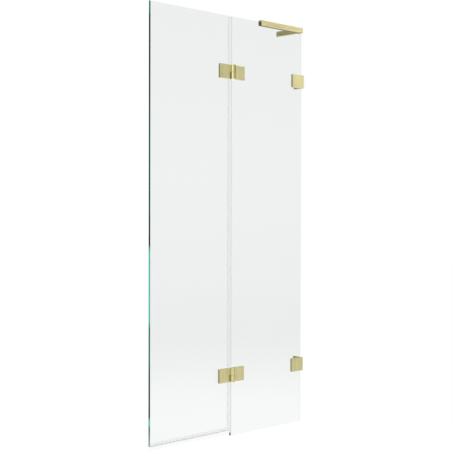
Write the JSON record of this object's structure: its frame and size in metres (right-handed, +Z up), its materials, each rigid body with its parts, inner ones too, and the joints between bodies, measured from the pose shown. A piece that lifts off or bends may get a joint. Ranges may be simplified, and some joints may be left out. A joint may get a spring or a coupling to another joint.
{
  "type": "hinged bath screen",
  "caption": "Frameless glass bath screen: a fixed panel on wall brackets with a top corner brace, and a panel hinged to it that swings out, with clear seals.",
  "frame": {"origin": "middle of the fixed panel's bottom face, which stands on the rim of the bath", "axes": "+X along the glass towards the wall, -Y the front where the hinges stand and the panel swings to, +Z up"},
  "size_m": [0.76, 0.141, 1.506],
  "materials": {
    "clear_glass": "clear toughened glass with green polished edges",
    "brushed_brass": "pale brushed brass, fine grain",
    "clear_seal": "clear soft PVC",
    "clear_gasket": "clear PVC sheet",
    "white_nylon": "natural nylon",
    "liner_rubber": "black EPDM",
    "plain_steel": "plain stainless steel"
  },
  "bodies": {
    "fixed_screen": {"fixed_glass_panel": "clear_glass", "upper_wall_bracket": "brushed_brass", "lower_wall_bracket": "brushed_brass", "wall_bracket_gaskets": "clear_gasket", "wall_bracket_glass_sleeves": "white_nylon", "wall_bracket_back_washers": "white_nylon", "wall_bracket_back_discs": "brushed_brass", "wall_bracket_screws": "plain_steel", "brace_glass_channel": "brushed_brass", "brace_wall_bar": "brushed_brass", "brace_channel_liner": "liner_rubber", "brace_grub_screws": "plain_steel", "brace_corner_screws": "plain_steel", "upper_hinge_fixed_leaf": "brushed_brass", "lower_hinge_fixed_leaf": "brushed_brass", "hinge_fixed_gaskets": "clear_gasket", "hinge_fixed_glass_sleeves": "white_nylon", "hinge_fixed_back_washers": "white_nylon", "hinge_fixed_back_discs": "brushed_brass", "hinge_fixed_screws": "plain_steel", "upper_hinge_pin": "plain_steel", "lower_hinge_pin": "plain_steel", "upper_hinge_thrust_washer": "white_nylon", "lower_hinge_thrust_washer": "white_nylon"},
    "moving_screen": {"moving_glass_panel": "clear_glass", "upper_hinge_moving_leaf": "brushed_brass", "lower_hinge_moving_leaf": "brushed_brass", "hinge_moving_gaskets": "clear_gasket", "hinge_moving_glass_sleeves": "white_nylon", "hinge_moving_back_washers": "white_nylon", "hinge_moving_back_discs": "brushed_brass", "hinge_moving_screws": "plain_steel", "upper_hinge_bush": "white_nylon", "lower_hinge_bush": "white_nylon", "upper_hinge_cap": "brushed_brass", "lower_hinge_cap": "brushed_brass", "bottom_drip_seal": "clear_seal", "side_seal_upper": "clear_seal", "side_seal_middle": "clear_seal", "side_seal_lower": "clear_seal"}
  },
  "joints": [
    {"name": "panel_swing", "type": "hinge", "parent": "fixed_screen", "child": "moving_screen", "pos_m": [-0.1925, -0.016, 0.22], "axis": [0, 0, 1], "range_deg": [0, 180]}
  ]
}
